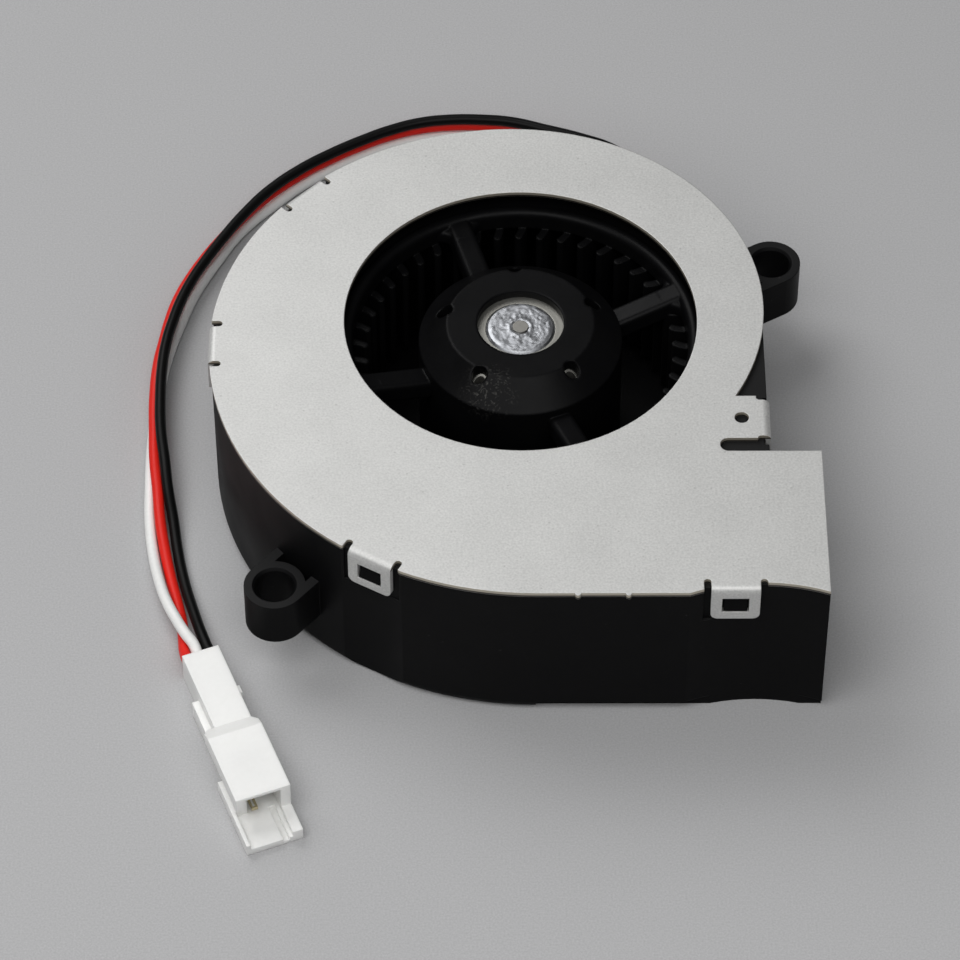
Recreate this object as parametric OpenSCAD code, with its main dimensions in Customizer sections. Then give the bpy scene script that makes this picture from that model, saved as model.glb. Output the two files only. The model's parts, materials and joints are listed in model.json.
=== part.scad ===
// Small centrifugal blower: a moulded scroll housing under a sheet-steel cover, a bladed
// impeller with an outer-rotor motor in its hub, and three leads to a wire-to-wire connector.
// Millimetres, +Z up. The origin is on the impeller's axis, in the plane of the underside.
// The outlet faces +X, and the impeller turns counter-clockwise seen from above.

/* [Body] */
// Thickness of the whole blower, cover included
body_h = 23; // [20:0.5:30]
// Outer radius of the scroll's first quarter, on the side of the tongue
scroll_r = 31.85; // [30:0.05:40]
// Drop of the arc centre from the first quarter to the second
scroll_step_y = 6.5; // [4:0.1:9]
// Shift of the arc centre from the second quarter to the third
scroll_step_x = 2.7; // [1:0.1:5]
// Thickness of the moulded side walls
wall_t = 1.8; // [1.4:0.1:2.4]
// Thickness of the moulded floor
floor_t = 1.6; // [1.6:0.1:2.2]
// Fillet round the outer edge of the underside
edge_r = 1.5; // [0.5:0.1:1.7]
// Outlet's end plane, from the axis
outlet_x = 37.3; // [34:0.1:46]
// Outlet's width over its two walls
outlet_w = 22.55; // [18:0.05:26]
// Radius of the rounded tip of the tongue
nose_r = 1.2; // [0.8:0.1:2]
// Depth of the hollow in the front wall behind the outlet's tab
front_hollow = 1.65; // [1:0.05:2]
// Depth of the hollow in the front wall behind the scroll's tab
side_hollow = 0.6; // [0.3:0.05:1]

/* [Cover] */
// Thickness of the steel sheet
cover_t = 0.7; // [0.5:0.1:1]
// Overhang of the sheet past the side walls
cover_lip = 0.2; // [0:0.05:0.4]
// Radius of the air inlet in the sheet
inlet_r = 22.5; // [20:0.1:24]
// Width of a bent tab
tab_w = 6; // [4:0.1:8]
// Height of a bent tab below the top of the sheet
tab_h = 5.5; // [4.5:0.1:8]
// Width of the window in a tab
window_w = 3.3; // [2:0.1:4]
// Height of the window in a tab
window_h = 2.5; // [1.5:0.1:3]

/* [Mounting ears] */
// Radius of an ear's boss
ear_r = 3.85; // [3.4:0.05:5]
// Radius of the screw hole in an ear
ear_hole_r = 2.45; // [1.6:0.05:2.8]
// Height of an ear
ear_h = 6.5; // [4:0.1:9]
// Height of the ears' top faces above the underside
ear_top = 13; // [9:0.5:18]
// Distance of the front ear's hole from the wall
front_ear_out = 4.15; // [3.9:0.05:8]
// Distance of the rear ear's hole from the wall
rear_ear_out = 6.4; // [3.9:0.05:9]

/* [Impeller] */
// Number of blades
blade_count = 45; // [30:1:51]
// Thickness of a blade
blade_t = 1; // [0.7:0.05:1.2]
// Gap between the blades and the scroll's wall at the tongue's side
scroll_gap = 2.05; // [1.6:0.05:4]
// Radius of the hub's rim
hub_r = 13.05; // [12:0.05:14.5]
// Radius of the hub's flat top
hub_flat_r = 9.45; // [8.5:0.05:10]
// Thickness of the hub's shell
hub_t = 1.2; // [0.9:0.05:1.5]
// Width of a spoke
spoke_w = 3.2; // [2:0.1:5]
// Thickness of the blade ring
ring_t = 1.8; // [1.5:0.1:3]

/* [Motor] */
// Radius of the shaft
shaft_r = 1; // [0.8:0.05:1.25]
// Outer radius of a ball bearing
bearing_r = 3; // [2.8:0.05:3.5]
// Width of a ball bearing
bearing_w = 3; // [2.3:0.1:3.5]
// Radius of a bearing ball
ball_r = 0.45; // [0.35:0.01:0.5]
// Number of balls in a bearing
ball_count = 7; // [6:1:8]
// Thickness of the rotor's steel cup
yoke_t = 0.8; // [0.5:0.05:1]
// Thickness of the magnet ring
magnet_t = 1.55; // [1:0.05:2]
// Air gap between the magnet and the stator
air_gap = 0.3; // [0.2:0.05:0.5]
// Height of the stator's stack of sheets
core_h = 5; // [3:0.1:6]
// Width of a stator tooth
tooth_w = 2.4; // [1.6:0.1:3]
// Build of the winding on each side of a tooth
coil_t = 1.1; // [0.6:0.05:1.3]
// Thickness of the driver board
board_t = 0.8; // [0.6:0.1:1.2]

/* [Leads and connector] */
// Diameter of a lead over its insulation
lead_d = 1.45; // [1:0.05:1.45]
// Distance between the contacts of the connector
pin_pitch = 1.5; // [1.4:0.05:1.7]
// Length of the connector
plug_l = 29; // [27:0.5:34]
// Height of the connector's mating end
plug_h = 5.6; // [5.2:0.1:7]
// Height of the connector's wire end
plug_rear_h = 4.4; // [4:0.1:5]

/* [Hidden] */
$fn = 64;
cut = 1;                       // how far a cut runs past the face it opens
fit_gap = 0.02;                // radial gap of a pressed fit
glue_gap = 0.05;               // radial gap of a glued fit
wall_top = body_h - cover_t;   // top of the moulded walls, under the sheet

// Scroll: three quarter arcs, each meeting the next on a common tangent
arc1_c = [-1, 2.2];
arc2_c = arc1_c - [0, scroll_step_y];
arc2_r = scroll_r + scroll_step_y;
arc3_c = arc2_c + [scroll_step_x, 0];
arc3_r = arc2_r + scroll_step_x;
right_x = arc1_c.x + scroll_r;
front_y = arc3_c.y - arc3_r;
back_y = front_y + outlet_w;
duct_back_y = back_y - wall_t;

// Tongue: an arc of its own from the right wall down to the rounded tip
tongue_c = [-3.1, arc1_c.y];
tongue_r = right_x - wall_t - tongue_c.x;
nose_y = duct_back_y + nose_r;
nose_c = [tongue_c.x + sqrt(pow(tongue_r + nose_r, 2) - pow(tongue_c.y - nose_y, 2)), nose_y];
nose_meet = tongue_c + (nose_c - tongue_c) * tongue_r / (tongue_r + nose_r);

// Hollows in the outside of the front wall, each the sagitta of a large arc
hollow_r = 24;
front_hollow_at = [outlet_x - 8.3, front_y];
side_hollow_a = 240.3;

// Cover: the edge beside the tongue, the slot at the outlet and the locating hole
cover_arc_c = [-0.4, arc1_c.y];
cover_arc_r = right_x + cover_lip - cover_arc_c.x;
tongue_tab_y = back_y + 5.75;
tongue_edge_y = tongue_tab_y + tab_w / 2 + 0.65;
slot_w = 2.35;
slot_end_x = right_x - 6.25;
locating_hole_r = 0.9;
locating_hole = [right_x - 3.3, tongue_tab_y];

// Tabs: place of the outer face and direction it faces
tab_out = 0.3;
tab_gap = 0.15;
bend_r = cover_t + 0.2;
tab_corner_r = 0.9;
relief_w = 0.9;
relief_l = 1.7;
tab_reach = 3;                 // how far the room for a tab runs past its outer face
outlet_tab_x = outlet_x - 11.45;
upper_tab_a = 135.3;
nib_r = 0.38;                  // stubs left on the front edge where the blank was cut free
NIBS_X = [6.65, 12.8];
function polar(c, r, a) = c + r * [cos(a), sin(a)];
function on_arc(c, r, a) = [polar(c, r + tab_out, a), a];
TABS = [
    [[outlet_tab_x, front_y + tab_out], 270],
    on_arc(arc3_c, arc3_r, side_hollow_a),
    on_arc(arc3_c, arc3_r, 180),
    on_arc(arc2_c, arc2_r, upper_tab_a),
    [[right_x + tab_out, tongue_tab_y], 0],
];
window_drop = 1.75;            // top of a window below the top of the sheet
catch_play = 0.2;              // room between a catch and the edges of its window

// Ears: on the wall's own arcs, with ribs that point at the axis
front_ear = polar(arc3_c, arc3_r + front_ear_out, 224.2);
rear_ear = polar(arc1_c, scroll_r + rear_ear_out, 26.6);
ear_rib_t = 1.3;
ear_web_t = 1.2;
lead_in = 0.35;                // chamfer at the top of a screw hole

// Floor under the motor and the channel of the leads
base_r = hub_r + 1.45;
exit_a = 65;                   // direction in which the leads run out
lead_bend_r = inlet_r - 0.5;   // the leads run straight in the channel up to here
lead_pitch = lead_d + 0.1;
channel_w = 3 * lead_pitch + 0.35;
channel_h = lead_d + 0.35;
channel_roof = 1.3;
channel_wall = 1.2;
lead_z = 0.175 + lead_d / 2;   // axis of the leads in the channel
board_z = floor_t + 1.6;
board_top = board_z + board_t;
peg_r = 1;
socket_h = 1;
socket_t = 1.15;

// Impeller
hub_top = body_h - 0.8;
hub_rim_z = hub_top - 3.2;
hub_skirt_z = floor_t + 1.8;
wheel_r = right_x - wall_t - scroll_gap;
lip_r = 0.9;
ring_in_r = inlet_r - 1;
ring_top = body_h - 3.9;
ring_z = ring_top - ring_t;
blade_in_r = inlet_r - 2.5;
blade_out_r = wheel_r - 0.15;
blade_z = channel_h + channel_roof + 0.7;
blade_sink = 0.1;              // how far the blades run up into the ring
foot_ring_h = 1.2;
foot_ring_w = 3;
lip_z = ring_top + 0.1;        // centre of the lip's round edge
spoke_h = 2.6;
spoke_edge = 0.7;              // rounding of a spoke's edges
spoke_near_r = hub_r - hub_t / 2;
spoke_far_r = ring_in_r + lip_r / 2;
spoke_low = hub_rim_z - 1.25;  // top of a spoke in the hub
spoke_rise = 2.1;              // and how much higher it ends in the ring
spoke_slope = atan2(spoke_rise, spoke_far_r - spoke_near_r);
spoke_a = 20;
spoke_side = 0.55;             // a spoke's middle line runs this far beside the axis
web_r = 2;                     // fillet between a spoke and the ring, seen from above
web_w = 1.5;
web_sink = 0.12;               // how far a fillet's ends run into the spoke and the ring
web_top = lip_z + 0.1;
web_z = ring_z + blade_sink + 0.2;
hub_hole_r = 1;
hub_hole_a = 22;
cup_hole_step = 0.2;           // the holes in the cup are this much smaller in radius
blade_a = 2.2;
// A blade is a short arc that starts against the flow and ends leaning into the turn
blade_start = -28;
blade_turn = 78;
blade_chord_a = blade_start + blade_turn / 2;
blade_chord = sqrt(pow(blade_out_r, 2) - pow(blade_in_r * sin(blade_chord_a), 2))
    - blade_in_r * cos(blade_chord_a);
blade_r = blade_chord / (2 * sin(blade_turn / 2));
blade_c = [blade_in_r, 0] + blade_r * [-sin(blade_start), cos(blade_start)];

// Rotor
yoke_r = hub_r - hub_t - glue_gap;
yoke_top = hub_top - hub_t;
yoke_flat_r = hub_flat_r - 0.85;
yoke_shoulder_z = hub_rim_z - 1;
yoke_z = board_top + 0.9;
eye_r = 5.55;                  // opening in the hub that shows the cup and its boss
boss_hole_r = 4.45;
boss_r = boss_hole_r - fit_gap;
boss_edge = 0.3;               // chamfer round the boss's face
boss_top = yoke_top + 0.2;
boss_flange_r = 5.2;
boss_flange_h = 1.6;
boss_neck_r = 2;
magnet_r = yoke_r - yoke_t - glue_gap;
magnet_in_r = magnet_r - magnet_t;
magnet_z = yoke_z + 0.2;
magnet_h = 9.5;

// Bearings, tube and shaft
tube_t = 1;
tube_r = bearing_r + fit_gap + tube_t;
tube_step = 0.45;
lower_z = floor_t + 1.4;
neck_z = yoke_top - yoke_t - boss_flange_h - 1.2;
spring_h = 1.4;
spring_d = 0.25;
upper_z = neck_z - spring_h - bearing_w;
ball_track_r = (shaft_r + bearing_r) / 2;
ball_play = 0.03;
ring_gap = 0.05;               // each race stands this far off the balls' centre circle less a ball
shaft_z = floor_t + 0.4;
shaft_top = boss_top + 0.3;
clip_t = 0.4;
clip_r = 2;
groove_r = shaft_r - 0.2;
clip_z = lower_z - 0.1 - clip_t;

// Stator
stator_r = magnet_in_r - air_gap;
core_z = board_top + 3;
core_ring_r = 5.4;
shoe_t = 1.2;
shoe_half_a = 38;
cap_t = 0.7;
coil_play = 0.05;
coil_end_gap = 0.2;
coil_half_w = tooth_w / 2 + coil_play + coil_t;
coil_in_r = core_ring_r + coil_end_gap;
coil_out_r = sqrt(pow(stator_r - shoe_t, 2) - pow(coil_half_w, 2)) - coil_end_gap;
post_r = 0.6;
post_at = core_ring_r - post_r - 0.1;
board_r = stator_r + 1.5;
board_hole_r = tube_r + 0.2;
peg_at = (tube_r + board_r) / 2 + 1.6;
hall_size = [1.5, 2.9, 0.6];
hall_at = magnet_r - magnet_t / 2 - 0.3;
chip_size = [3, 3.6, 0.9];
chip_a = 200;
resistor_size = [0.8, 1.6, 0.5];
RESISTORS_A = [110, 160, 290];
capacitor_size = [1.2, 2, 0.6];
capacitor_a = 20;

// Connector: its wire end sits at plug_at, and it runs from there along its own -Y
plug_at = [-40.2, -39.3];
plug_turn = 21.5;
plug_rear_w = 2 * pin_pitch + 1.8;
plug_rear_l = 12.2;
plug_ramp_l = 2.3;
plug_lip_l = 4.2;
plug_front = plug_l - plug_lip_l;
plug_ledge = 0.9;
plug_ledge_h = 2.6;
plug_ledge_from = 6.1;
plug_body_left = -plug_rear_w / 2 - plug_ledge;
plug_right = plug_rear_w / 2 + 0.6;
plug_shoulder = 1;             // length of the slanted shoulders behind the mating end
plug_rail = 0.75;              // overhang of the rail along the left of the mating end
plug_rail_z = plug_h - 2.2;
plug_wing = 1;                 // the low flange on the left, from wing_from to the front
plug_wing_from = 18.4;
plug_rim_h = 1.8;
plug_rim_w = 0.5;
plug_latch = 0.4;              // bump on the right of the wire end
plug_latch_l = 1.2;
plug_latch_h = 1.4;
plug_latch_from = 6.7;
mouth_depth = 7;
mouth_from = plug_front - mouth_depth;
mouth_left = plug_body_left + 1;
mouth_right = plug_right - 1.3;
mouth_floor = 1;
mouth_roof = 0.7;
mouth_roof_edge = 0.25;        // the roof thins to this at its front edge
mouth_step_back = 1.2;         // the wall under the rail stands this far behind the front
groove_w = 0.8;
groove_depth = 0.5;
pin_w = 0.5;
pin_play = 0.05;
pin_front = 0.6;               // the long contact ends this far behind the mating end's front
loop_w = 0.8;                  // eye at the end of the long contact
loop_l = 1.9;
loop_bar = 0.22;
crimp_wall = 0.2;              // wall between two neighbouring contacts
crimp_r = (pin_pitch - crimp_wall) / 2 - pin_play;
crimp_l = 5;
lead_end_z = plug_rear_h / 2;

// Routes of the three free leads, from the notch in the wall to the connector
ROUTE_BLACK = [
    [15.6, 29.8, 0.9], [17.3, 33.8, 0.85], [18.8, 38.1, 0.85], [19.1, 42.8, 1.6], [17, 47.3, 2.6],
    [13.2, 50.2, 3.35], [8.7, 52.1, 3.65], [4, 53.7, 3.7], [-0.7, 55.2, 3.7], [-5.1, 55.7, 3.7],
    [-9.3, 55.7, 3.7], [-13.4, 55.1, 3.7], [-17.4, 53.7, 3.7], [-21.5, 51.6, 3.7], [-25.6, 49.1, 3.7],
    [-29.7, 46.1, 3.7], [-33.8, 42.3, 3.55], [-37, 38, 3.55], [-40.1, 32.8, 3.55], [-42.1, 29, 3.55],
    [-43.8, 25.3, 3.55], [-45.1, 21.6, 3.55], [-46, 18, 3.55], [-46.7, 14.3, 3.55], [-47.1, 9.8, 3.55],
    [-47.1, 3.6, 3.55], [-46.8, -1.6, 3.5], [-46.1, -6.6, 3.2], [-45.5, -11.1, 2.5],
    [-44.7, -15.4, 1.5], [-44, -19.9, 0.85], [-43, -24.9, 0.85], [-41.4, -31, 1.5],
    [-39.9, -35.94, 2.2], [-38.8, -38.74, 2.2],
];
ROUTE_RED = [
    [14.2, 30.4, 0.9], [15.9, 34.3, 0.85], [17.3, 38.5, 0.8], [17.6, 42.6, 1.1], [16.1, 46.7, 1.5],
    [12.9, 49.8, 1.9], [8.8, 52.2, 2.1], [4.1, 54.1, 2.2], [-0.7, 55.5, 2.2], [-5.1, 56, 2.2],
    [-9.3, 56, 2.2], [-13.4, 55.4, 2.2], [-17.5, 54.1, 2.2], [-21.7, 52, 2.2], [-25.9, 49.4, 2.2],
    [-29.9, 46.4, 2.2], [-33.9, 42.7, 2.1], [-37.1, 38.9, 2.1], [-40.4, 34, 2.1], [-42.5, 30.4, 2.1],
    [-44.3, 26.7, 2.1], [-45.7, 23, 2.1], [-46.6, 19.3, 2.1], [-47.2, 15.6, 2.15], [-47.8, 11.1, 2.25],
    [-48, 4.8, 2.25], [-47.8, -0.4, 2.25], [-47.5, -5.7, 2.25], [-46.9, -10.7, 2], [-46.4, -15.4, 1.6],
    [-45.6, -20.1, 1.1], [-44.6, -24.8, 0.75], [-43.6, -28.9, 0.75], [-42.9, -32.2, 0.9],
    [-42.6, -35, 1.2], [-42.3, -37.6, 1.75], [-41.95, -38.95, 2.15], [-41.6, -39.84, 2.2],
];
ROUTE_WHITE = [
    [12.8, 31.1, 0.9], [14.4, 34.9, 0.85], [15.8, 38.8, 0.75], [16.1, 42.4, 0.75], [14.9, 46, 0.75],
    [12.2, 49, 0.75], [8.4, 51.5, 0.75], [3.9, 53.5, 0.75], [-0.8, 54.9, 0.75], [-5.1, 55.4, 0.75],
    [-9.3, 55.4, 0.75], [-13.3, 54.8, 0.75], [-17.3, 53.5, 0.75], [-21.4, 51.4, 0.75],
    [-25.5, 48.9, 0.75], [-29.5, 45.9, 0.75], [-33.2, 42.2, 0.75], [-36.2, 38.9, 0.75],
    [-38.6, 35.5, 0.75], [-40.6, 31.7, 0.75], [-42.4, 28, 0.75], [-43.9, 24.3, 0.75], [-45, 20.6, 0.75],
    [-46, 16.9, 0.75], [-46.9, 12.4, 0.75], [-47.7, 6.1, 0.75], [-48, 0.8, 0.75], [-48.1, -4.4, 0.75],
    [-48, -9.6, 0.75], [-47.8, -14.7, 0.75], [-47.2, -19.8, 0.8], [-46.1, -25.4, 1.5],
    [-44.9, -29.5, 2.1], [-43.5, -32.8, 2.5], [-42.2, -35.5, 2.95], [-41.2, -36.9, 2.7],
    [-40.64, -38.18, 2.3], [-40.25, -39.17, 2.2],
];

// Helpers

// Rectangle between two corners
module span(low, high) {
    translate(low) square(high - low);
}

// Box between two corners
module block(low, high) {
    translate(low) cube(high - low);
}

// Quarter disc about c that starts at angle a
module quarter(c, r, a) {
    translate(c) rotate(a) intersection() {
        circle(r);
        square(r + cut);
    }
}

// Square ring of a revolved profile: radii and heights
module washer(r_in, r_out, z, h) {
    translate([0, 0, z]) difference() {
        cylinder(r = r_out, h = h);
        translate([0, 0, -cut]) cylinder(r = r_in, h = h + 2 * cut);
    }
}

function unit(v) = v / norm(v);
function heading(path, i) = unit(path[min(i + 1, len(path) - 1)] - path[max(i - 1, 0)]);
function ring_at(p, along, side, r, n) =
    let (across = unit(cross(along, side)), up = cross(across, along))
    [for (k = [0 : n - 1]) p + r * (cos(360 * k / n) * across + sin(360 * k / n) * up)];

// Tube of n sides along the points of a path, with flat ends square to it
module tube_along(path, r, n = 8, side = [0, 0, 1]) {
    last = len(path) - 1;
    points = [for (i = [0 : last]) each ring_at(path[i], heading(path, i), side, r, n)];
    sides = [
        for (i = [0 : last - 1], k = [0 : n - 1])
            let (a = i * n + k, b = i * n + (k + 1) % n)
            each [[a, a + n, b + n], [a, b + n, b]]
    ];
    first_end = [[for (k = [0 : n - 1]) k]];
    last_end = [[for (k = [n - 1 : -1 : 0]) last * n + k]];
    polyhedron(points = points, faces = concat(sides, first_end, last_end));
}

// Outline of the scroll and its outlet, grown by g on its long sides
module scroll_plan(g, end_x) {
    quarter(arc1_c, scroll_r + g, 0);
    quarter(arc2_c, arc2_r + g, 90);
    quarter(arc3_c, arc3_r + g, 180);
    span([arc1_c.x, arc3_c.y], [right_x + g, arc1_c.y]);
    span([arc3_c.x, front_y - g], [right_x + g, arc3_c.y]);
    span([arc3_c.x, front_y - g], [end_x, back_y + g]);
}

// Large discs that hollow the front wall, grown by g
module hollow_plan(g) {
    translate(front_hollow_at + [0, front_hollow - hollow_r]) circle(hollow_r + g, $fn = 128);
    translate(polar(arc3_c, arc3_r - side_hollow + hollow_r, side_hollow_a))
        circle(hollow_r + g, $fn = 128);
}

// Solid wedge between the tongue's arc, the outlet's back wall and the right wall
module tongue_plan() {
    difference() {
        span([nose_meet.x - cut, duct_back_y], [right_x, tongue_c.y]);
        translate(tongue_c) circle(tongue_r, $fn = 128);
        polygon([
            nose_meet, [nose_meet.x - 2 * cut, nose_meet.y],
            [nose_meet.x - 2 * cut, duct_back_y - cut], [nose_c.x, duct_back_y - cut],
            [nose_c.x, duct_back_y],
        ]);
    }
    translate(nose_c) circle(nose_r);
}

// Air space of the scroll and the outlet
module cavity_plan() {
    difference() {
        union() {
            scroll_plan(-wall_t, right_x);
            span([arc3_c.x, front_y + wall_t], [outlet_x + cut, duct_back_y]);
        }
        tongue_plan();
        hollow_plan(wall_t);
    }
}

// Housing

// Corner that the fillet takes off, drawn with the wall's outside on x = 0
module fillet_cut() {
    difference() {
        span([-edge_r, -cut], [cut, edge_r]);
        translate([-edge_r, edge_r]) circle(edge_r, $fn = 32);
    }
}

// The same cut along an arc of the scroll
module fillet_arc(c, r, a) {
    translate(c) rotate_extrude(angle = 90, start = a, $fn = 128) translate([r, 0]) fillet_cut();
}

// The same cut along a straight wall from p, heading a with the outside on the right
module fillet_line(p, a, l) {
    translate(p) rotate([90, 0, a + 90]) linear_extrude(l) fillet_cut();
}

// One ear in its own axes: the hole at the origin, the wall towards -X
module ear(c, reach) {
    translate([c.x, c.y, ear_top - ear_h]) rotate(atan2(c.y, c.x)) difference() {
        union() {
            cylinder(r = ear_r, h = ear_h);
            block([-reach, -ear_r, 0], [0, ear_r, ear_h]);
        }
        translate([0, 0, ear_web_t]) linear_extrude(ear_h) difference() {
            span([-reach, ear_rib_t - ear_r], [0, ear_r - ear_rib_t]);
            circle(ear_r);
        }
    }
}

module ear_hole(c) {
    translate([c.x, c.y, ear_top - ear_h - cut]) cylinder(r = ear_hole_r, h = ear_h + 2 * cut);
    translate([c.x, c.y, ear_top - lead_in])
        cylinder(r1 = ear_hole_r, r2 = ear_hole_r + lead_in + cut, h = lead_in + cut);
}

// Snap catch behind a tab's window: a wedge that a tab rides over on its way down
module catch_wedge() {
    low = body_h - window_drop - window_h + catch_play;
    high = body_h - window_drop - catch_play;
    half = window_w / 2 - catch_play;
    translate([0, half, 0]) rotate([90, 0, 0]) linear_extrude(2 * half)
        polygon([[-cover_t - wall_t, low], [0, low], [-cover_t, high], [-cover_t - wall_t, high]]);
}

// Room for a tab in the outside of the wall
module tab_pocket() {
    half = tab_w / 2 + relief_w;
    block([-cover_t - tab_gap, -half, body_h - tab_h - relief_w], [tab_reach, half, body_h + cut]);
}

module at_tabs() {
    for (t = TABS) translate(t[0]) rotate(t[1]) children();
}

// Cored underside of the tongue, so that its walls are as thick as the rest
module tongue_core() {
    translate([0, 0, -cut]) linear_extrude(wall_top - wall_t + cut) difference() {
        span([nose_c.x, back_y], [right_x - wall_t, tongue_edge_y]);
        translate(tongue_c) circle(tongue_r + wall_t, $fn = 128);
    }
}

// Socket of the bearing tube and the pegs that carry the board
module motor_base() {
    washer(tube_r + fit_gap, tube_r + socket_t, floor_t - fit_gap, socket_h + fit_gap);
    for (k = [1 : 3]) rotate(exit_a + 90 * k) translate([peg_at, 0, floor_t - fit_gap])
        cylinder(r = peg_r, h = board_z - floor_t + fit_gap);
}

// Raised rib over the channel in which the leads run out under the floor
module lead_rib() {
    half = channel_w / 2 + channel_wall;
    rotate(exit_a) block([base_r - 2 * cut, -half, 0], [scroll_r, half, channel_h + channel_roof]);
}

module lead_channel() {
    half = channel_w / 2;
    rotate(exit_a) {
        block([peg_at - 2, -half, -cut], [scroll_r + 5, half, channel_h]);
        block([peg_at - 2, -half, -cut], [base_r - 2.5 * cut, half, channel_h + channel_roof + cut]);
    }
}

module scroll_housing() {
    color("#161617") difference() {
        union() {
            difference() {
                linear_extrude(wall_top) difference() {
                    scroll_plan(0, outlet_x);
                    hollow_plan(0);
                }
                fillet_arc(arc1_c, scroll_r, 0);
                fillet_arc(arc2_c, arc2_r, 90);
                fillet_arc(arc3_c, arc3_r, 180);
                fillet_line([arc3_c.x, front_y, 0], 0, outlet_x - arc3_c.x + cut);
                fillet_line([right_x, back_y, 0], 90, arc1_c.y - back_y);
                at_tabs() tab_pocket();
                translate([0, 0, floor_t]) linear_extrude(wall_top) cavity_plan();
            }
            difference() {
                union() {
                    ear(front_ear, front_ear_out + wall_t);
                    ear(rear_ear, rear_ear_out + wall_t);
                    at_tabs() catch_wedge();
                }
                translate([0, 0, floor_t]) linear_extrude(wall_top) cavity_plan();
            }
            motor_base();
            lead_rib();
        }
        tongue_core();
        lead_channel();
        ear_hole(front_ear);
        ear_hole(rear_ear);
    }
}

// Cover

// Outline of the sheet
module cover_plan() {
    difference() {
        scroll_plan(cover_lip, outlet_x);
        hollow_plan(-cover_lip);
        circle(inlet_r, $fn = 128);
        difference() {
            span([nose_c.x, tongue_edge_y], [right_x + cut, cover_arc_c.y]);
            translate(cover_arc_c) circle(cover_arc_r, $fn = 128);
        }
        span([slot_end_x + slot_w / 2, back_y + cover_lip], [right_x + cut, back_y + slot_w]);
        translate([slot_end_x + slot_w / 2, back_y + slot_w / 2 + cover_lip / 2])
            circle(slot_w / 2 - cover_lip / 2, $fn = 32);
        translate(locating_hole) circle(locating_hole_r, $fn = 32);
    }
    for (x = NIBS_X) translate([x, front_y - cover_lip]) circle(nib_r, $fn = 24);
}

// Sheet removed round a tab: past the bend, and the two relief slots
module tab_clear() {
    half = tab_w / 2 + relief_w;
    block([-bend_r, -half, wall_top - cut], [tab_reach, half, body_h + cut]);
    for (s = [-1, 1]) translate([0, s * (tab_w + relief_w) / 2, wall_top - cut]) {
        block([relief_w / 2 - relief_l, -relief_w / 2, 0], [cut, relief_w / 2, cover_t + 2 * cut]);
        translate([relief_w / 2 - relief_l, 0, 0])
            cylinder(r = relief_w / 2, h = cover_t + 2 * cut, $fn = 32);
    }
}

// Side view of a tab: the end of the sheet, the bend and the leg
module tab_section() {
    span([-bend_r - cut, wall_top], [-bend_r, body_h]);
    span([-cover_t, body_h - tab_h], [0, body_h - bend_r]);
    translate([-bend_r, body_h - bend_r]) intersection() {
        difference() {
            circle(bend_r, $fn = 32);
            circle(bend_r - cover_t, $fn = 32);
        }
        square(bend_r + cut);
    }
}

// Front view of a tab, with rounded lower corners and the window
module tab_face() {
    half = tab_w / 2;
    foot = body_h - tab_h;
    difference() {
        union() {
            span([-half, foot + tab_corner_r], [half, body_h + cut]);
            span([tab_corner_r - half, foot], [half - tab_corner_r, foot + 2 * tab_corner_r]);
            for (s = [-1, 1]) translate([s * (half - tab_corner_r), foot + tab_corner_r])
                circle(tab_corner_r, $fn = 32);
        }
        span([-window_w / 2, body_h - window_drop - window_h], [window_w / 2, body_h - window_drop]);
    }
}

module tab() {
    intersection() {
        translate([0, tab_w / 2, 0]) rotate([90, 0, 0]) linear_extrude(tab_w) tab_section();
        translate([-tab_reach, 0, 0]) rotate([90, 0, 90]) linear_extrude(2 * tab_reach) tab_face();
    }
}

module top_cover() {
    color("#c4c4c2") {
        difference() {
            translate([0, 0, wall_top]) linear_extrude(cover_t) cover_plan();
            at_tabs() tab_clear();
        }
        at_tabs() tab();
    }
}

// Impeller

// Outside of the rotor's cup, grown by g; the hub is moulded round it
module cup_section(g) {
    polygon([
        [0, yoke_z - cut], [yoke_r + g, yoke_z - cut], [yoke_r + g, yoke_shoulder_z],
        [yoke_flat_r + g, yoke_top], [0, yoke_top],
    ]);
}

module hub() {
    difference() {
        rotate_extrude() polygon([
            [0, hub_skirt_z], [hub_r, hub_skirt_z], [hub_r, hub_rim_z],
            [hub_flat_r, hub_top], [0, hub_top],
        ]);
        rotate_extrude() cup_section(glue_gap);
        translate([0, 0, hub_skirt_z - cut]) cylinder(r = yoke_r + glue_gap, h = yoke_z);
        cylinder(r = eye_r, h = body_h);
        hub_holes(hub_hole_r);
    }
}

// Five balancing holes through the hub and the cup under it
module hub_holes(r) {
    for (k = [0 : 4]) rotate(hub_hole_a + 72 * k)
        translate([hub_flat_r + hub_hole_r / 2, 0, yoke_shoulder_z - yoke_t])
            cylinder(r = r, h = body_h, $fn = 32);
}

// Section of a spoke, with its top edges rounded; the top is on y = 0
module spoke_section() {
    half = spoke_w / 2;
    span([-half, -spoke_h], [half, -spoke_edge]);
    span([spoke_edge - half, -spoke_h], [half - spoke_edge, 0]);
    for (s = [-1, 1]) translate([s * (half - spoke_edge), -spoke_edge]) circle(spoke_edge, $fn = 32);
}

// Fillet on one side of a spoke: a curved wall up to the ring, its inner top edge rounded
module spoke_web(s) {
    across = spoke_side + s * (spoke_w / 2 + web_r - web_sink);
    along = sqrt(pow(ring_in_r - web_r + web_sink, 2) - pow(across, 2));
    ring_a = atan2(across, along);
    translate([along, across, 0])
        rotate_extrude(angle = 90 + s * ring_a, start = s > 0 ? -90 : ring_a) {
            span([web_r, web_z], [web_r + web_w, web_top - spoke_edge]);
            span([web_r + spoke_edge, web_z], [web_r + web_w, web_top]);
            translate([web_r + spoke_edge, web_top - spoke_edge]) circle(spoke_edge, $fn = 32);
        }
}

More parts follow.
